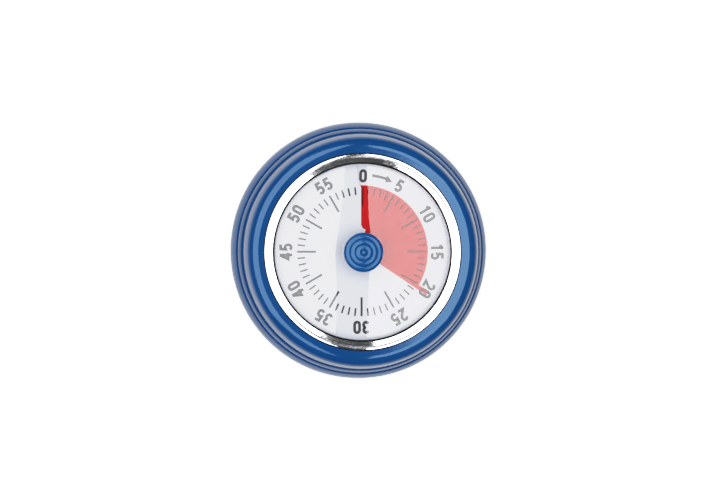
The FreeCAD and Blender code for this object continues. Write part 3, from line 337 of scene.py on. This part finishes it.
metalNodes = {
    "brass": ("great_wheel", "second_wheel", "third_wheel", "balance_wheel"),
    "plate": ("rear_plate", "front_plate", "pillars", "hammer_arm", "release_lever"),
    "steel": ("second_pinion", "third_pinion", "escape_pinion", "verge", "alarm_pinion",
              "star_wheel", "winding_arbor", "ratchet_wheel", "click_pin", "click",
              "bell_post", "hammer_head"),
    "zinc": ("cover_screws", "movement_screws", "pillar_nuts", "bell_screw", "barrel_drum",
             "barrel_lid", "magnet_cup"),
    "spring": ("mainspring", "click_spring"),
    "bell": ("bell",),
}

coat("housing", enamel("blueEnamel", enamelLook))
coat("knob", gloss("bluePlastic", plasticLook))
coat("bezel", chrome("bezelChrome", chromeLook))
coat("lens", clearPlastic("clearLens", lensLook))
coat("dial_face", paperWhite("dialWhite", dialLook))
coat("red_film", tintedFilm("filmRed", filmLook))
coat("foot_ring", rubber("footRubber", rubberLook["foot"], rubberLook))
coat("lens_gasket", rubber("gasketRubber", rubberLook["gasket"], rubberLook))
coat("rear_cover", moulded(
    "darkPlastic", mouldedLook["cover"], mouldedLook["coverRough"], mouldedLook))
coat("magnet", ferrite("magnetBlack", magnetLook))
for node in ("film_hub", "escape_wheel", "release_cam"):
    coat(node, moulded(
        node + "Plastic", mouldedLook["natural"], mouldedLook["naturalRough"], mouldedLook))
for kind, members in metalNodes.items():
    for node in members:
        coat(node, metal(node + "Metal", metalLook[kind], stainLook, middle(node)))
print("finishes made")

# the dial's print: turns are in degrees clockwise from the slit

printLook = {"tall": 3.72 * mm, "wide": 2.16 * mm, "stroke": 0.78 * mm, "gap": 0.36 * mm,
             "middle": 21.2 * mm, "majorIn": 12.8 * mm, "minorIn": 15.9 * mm, "tickOut": 18.1 * mm,
             "majorWidth": 0.58 * mm, "minorWidth": 0.45 * mm, "ink": 0.09 * mm,
             "zeroTurn": 1.2, "webBase": 23.3 * mm, "pitch": 1.0 * mm,
             "arrowFrom": 8.0, "arrowTo": 19.2, "arrowTip": 24.0, "arrowRadius": 21.5 * mm,
             "arrowWidth": 0.8 * mm, "arrowHead": 2.1 * mm, "arrowLap": 0.4, "arrowDip": 0.2,
             "arrowSteps": 8}
mitreLeast = 0.35  # keeps the corner of a sharp bend from running far out


def onDial(turn, across, out, look):  # a point on the dial's spiral face
    angle = math.radians(turn)
    x = out * math.sin(angle) + across * math.cos(angle)
    y = out * math.cos(angle) - across * math.sin(angle)
    here = turn + math.degrees(math.atan2(across, out))
    return Vector((x, y, look["webBase"] + look["pitch"] * here / 360))


def laid(mesh, turn, look):  # moves a flat mesh, x across and y outwards, on to the dial
    for vertex in mesh.verts:
        x, y, z = vertex.co
        vertex.co = onDial(turn, x, y, look) + Vector((0, 0, z))


def turnOf(minute, look):  # the zero stands clear of the slit
    return minute * 6 + (look["zeroTurn"] if minute == 0 else 0)


def atTurn(turn, reach):
    angle = math.radians(turn)
    return reach * math.sin(angle), reach * math.cos(angle)


def addedTo(whole, part):
    spare = bpy.data.meshes.new("spare")
    part.to_mesh(spare)
    part.free()
    whole.from_mesh(spare)
    bpy.data.meshes.remove(spare)


def bow(x, y, across, along, start, end):  # points round part of an oval, degrees from +X
    steps = 12
    points = []
    for step in range(steps + 1):
        angle = math.radians(start + (end - start) * step / steps)
        points.append((x + across * math.cos(angle), y + along * math.sin(angle)))
    return points


def strokes(digit, a, h):  # middle lines of a digit, a and h from its centre to its edges
    bend = h - a
    drawn = {
        "0": [bow(0, bend, a, a, 0, 180) + bow(0, -bend, a, a, 180, 360) + [(a, bend)]],
        "1": [[(0.35 * a, -1.2 * h), (0.35 * a, 1.2 * h)],
              [(-0.9 * a, 0.6 * h), (-0.15 * a, 0.7 * h), (0.3 * a, h)]],
        "2": [bow(0, 0.42 * h, a, 0.58 * h, 165, -25) + [(-a, -h), (1.35 * a, -h)]],
        "3": [bow(0, 0.5 * h, 0.95 * a, 0.5 * h, 160, -85),
              bow(0, -0.46 * h, a, 0.54 * h, 85, -155)],
        "4": [[(0.4 * a, 1.15 * h), (-1.15 * a, -0.42 * h), (1.45 * a, -0.42 * h)],
              [(0.5 * a, 1.2 * h), (0.5 * a, -1.2 * h)]],
        "5": [[(1.1 * a, h), (-0.72 * a, h), (-0.88 * a, 0.02 * h)]
              + bow(-0.03 * a, -0.41 * h, 1.03 * a, 0.59 * h, 128, -150)],
    }
    return drawn[digit]


def ribbon(whole, points, width):  # a flat strip of one width along a line of points
    closed = math.dist(points[0], points[-1]) < 1e-9
    path = [Vector(point) for point in (points[:-1] if closed else points)]
    count = len(path)
    rails = []
    for index, here in enumerate(path):
        before = path[index - 1] if closed or index else None
        after = path[(index + 1) % count] if closed or index < count - 1 else None
        into = (here - before).normalized() if before else (after - here).normalized()
        out = (after - here).normalized() if after else into
        side = Vector((-into.y - out.y, into.x + out.x)).normalized()
        reach = width / 2 / max(mitreLeast, side.dot(Vector((-into.y, into.x))))
        rails.append([whole.verts.new((*(here + side * reach * hand), 0)) for hand in (-1, 1)])
    pairs = list(zip(rails, rails[1:] + rails[:1])) if closed else list(zip(rails, rails[1:]))
    for (one, two), (nextOne, nextTwo) in pairs:
        whole.faces.new((one, nextOne, nextTwo, two))


def lookingUp(flat):
    for face in flat.faces:
        face.normal_update()
        if face.normal.z < 0:
            face.normal_flip()


def numeral(words, look):  # digits side by side, centred, drawn flat
    whole = bmesh.new()
    a = (look["wide"] - look["stroke"]) / 2
    h = (look["tall"] - look["stroke"]) / 2
    step = look["wide"] + look["gap"]
    for place, digit in enumerate(words):
        shift = (place - (len(words) - 1) / 2) * step
        for line in strokes(digit, a, h):
            ribbon(whole, [(x + shift, y) for x, y in line], look["stroke"])
    for vertex in whole.verts:
        vertex.co.z = look["ink"] / 2
    lookingUp(whole)
    return whole


def tickMark(major, look):
    inner = look["majorIn"] if major else look["minorIn"]
    width = look["majorWidth"] if major else look["minorWidth"]
    tick = bmesh.new()
    bmesh.ops.create_cube(tick, size=1)
    bmesh.ops.scale(tick, verts=tick.verts, vec=(width, look["tickOut"] - inner, look["ink"]))
    bmesh.ops.translate(tick, verts=tick.verts, vec=(0, (look["tickOut"] + inner) / 2, 0))
    return tick


def arrowMark(look):  # a bent line and a flat head, on the dial's spiral face
    arrow = bmesh.new()
    reach = look["arrowRadius"]
    half = look["arrowHead"] / 2
    steps = look["arrowSteps"]
    sweep = look["arrowTo"] - look["arrowFrom"]
    turns = [look["arrowFrom"] + sweep * step / steps for step in range(steps + 1)]
    ribbon(arrow, [atTurn(turn, reach) for turn in turns], look["arrowWidth"])
    base = look["arrowTo"] - look["arrowLap"]
    corners = (atTurn(base, reach - half),
               atTurn(look["arrowTip"], reach - look["arrowDip"] * half),
               atTurn(base, reach + half))
    arrow.faces.new([arrow.verts.new((*corner, 0)) for corner in corners])
    for vertex in arrow.verts:
        here = math.degrees(math.atan2(vertex.co.x, vertex.co.y))
        vertex.co.z = look["webBase"] + look["pitch"] * here / 360 + look["ink"] / 2
    lookingUp(arrow)
    return arrow


def dialPrint(look):
    whole = bmesh.new()
    for minute in range(0, 60, 5):
        figure = numeral(str(minute), look)
        bmesh.ops.translate(figure, verts=figure.verts, vec=(0, look["middle"], 0))
        laid(figure, turnOf(minute, look), look)
        addedTo(whole, figure)
    for minute in range(60):
        tick = tickMark(minute % 5 == 0, look)
        laid(tick, turnOf(minute, look), look)
        addedTo(whole, tick)
    addedTo(whole, arrowMark(look))
    mesh = bpy.data.meshes.new("dialPrint")
    whole.to_mesh(mesh)
    whole.free()
    mesh.materials.append(ink("dialInk", inkLook))
    made = bpy.data.objects.new("dialPrint", mesh)
    bpy.context.scene.collection.objects.link(made)
    return made


figures = dialPrint(printLook)
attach(figures, "case")
print("dial printed")

# floor, light, tone and camera: places are in metres, except the camera's aim

stageLook = {"floor": (0.84, 0.84, 0.845, 1.0), "mottle": 0.5, "tint": 1.01, "rough": 0.9,
             "white": (1.0, 1.0, 1.0, 1.0), "seen": (5.0, 5.0, 5.0, 1.0), "glow": 0.2,
             "size": 8.0, "air": 0.07, "airColour": (0.9, 0.95, 1.0, 1.0)}


def pale(name, look):  # white sweep that glows more where it is seen directly
    card = Shader(name)
    cloud = card.noise(look["mottle"])
    seen = card.node("LightPath", output="Is Camera Ray")
    return card.principled({
        "Base Color": cloud.blend(look["floor"], shade(look["floor"], look["tint"])),
        "Roughness": look["rough"], "Specular IOR Level": 0.0,
        "Emission Color": seen.blend(look["white"], look["seen"]),
        "Emission Strength": look["glow"]})


def makeFloor(look):
    shape = bmesh.new()
    bmesh.ops.create_grid(shape, x_segments=1, y_segments=1, size=look["size"] / 2)
    mesh = bpy.data.meshes.new("floor")
    shape.to_mesh(mesh)
    shape.free()
    mesh.materials.append(pale("paleFloor", look))
    floor = bpy.data.objects.new("floor", mesh)
    bpy.context.scene.collection.objects.link(floor)
    return floor


lightLook = {
    "lightLeft": {"west": -0.636, "east": -0.002, "south": -0.335, "north": 0.439,
                  "level": 0.9, "bright": 4.0, "turn": -3.3},
    "lightRight": {"west": 0.0685, "east": 0.42, "south": -0.319, "north": 0.292,
                   "level": 0.9, "bright": 5.0, "turn": 0.0},
}


def softbox(name, look):
    lamp = bpy.data.lights.new(name, "AREA")
    lamp.shape = "RECTANGLE"
    lamp.size = look["east"] - look["west"]
    lamp.size_y = look["north"] - look["south"]
    lamp.energy = look["bright"] * math.pi * lamp.size * lamp.size_y
    holder = bpy.data.objects.new(name, lamp)
    holder.location = ((look["west"] + look["east"]) / 2, (look["south"] + look["north"]) / 2,
                       look["level"])
    holder.rotation_euler = (0, 0, math.radians(look["turn"]))
    holder.visible_camera = False
    bpy.context.scene.collection.objects.link(holder)


def fillAir(look):  # weak even light from all round
    world = bpy.data.worlds.new("air")
    world.use_nodes = True
    sky = world.node_tree.nodes["Background"].inputs
    sky["Color"].default_value = look["airColour"]
    sky["Strength"].default_value = look["air"]
    bpy.context.scene.world = world


toneLook = {"white": 4.0, "steps": ((0.70, 0.70), (0.80, 0.775), (0.94, 0.83), (1.15, 0.865),
                                    (1.3, 0.97), (1.5, 1.0))}


def setTone(look):  # holds back the light tones; each step is a level and what it shows as
    view = bpy.context.scene.view_settings
    view.view_transform = "Standard"
    view.use_curve_mapping = True
    view.curve_mapping.white_level = (look["white"],) * 3
    tone = view.curve_mapping.curves[3]
    tone.points[0].handle_type = "VECTOR"
    for level, shown in look["steps"]:
        tone.points.new(level / look["white"], shown).handle_type = "VECTOR"
    view.curve_mapping.update()


makeFloor(stageLook)
for name, look in lightLook.items():
    softbox(name, look)
fillAir(stageLook)
setTone(toneLook)

cameraLook = {"leanX": -3.44, "leanY": 1.3, "distance": 3.0, "width": 0.2025,
              "aim": (0.48, 2.90, 8.4)}  # leans in degrees, aim in millimetres


def makeCamera(look):
    lens = bpy.data.cameras.new("camera")
    lens.sensor_width = 36.0
    lens.lens = lens.sensor_width * look["distance"] / look["width"]
    lens.clip_start = 0.1
    lens.clip_end = 20.0
    leans = [math.tan(math.radians(look[lean])) for lean in ("leanX", "leanY")]
    back = Vector((*leans, 1))
    back.normalize()
    right = Vector((0, 1, 0)).cross(back).normalized()
    up = back.cross(right)
    turn = Matrix((right, up, back)).transposed()
    holder = bpy.data.objects.new("camera", lens)
    place = Vector(look["aim"]) * mm + back * look["distance"]
    holder.matrix_world = Matrix.Translation(place) @ turn.to_4x4()
    bpy.context.scene.collection.objects.link(holder)
    bpy.context.scene.camera = holder


makeCamera(cameraLook)
print("stage set")
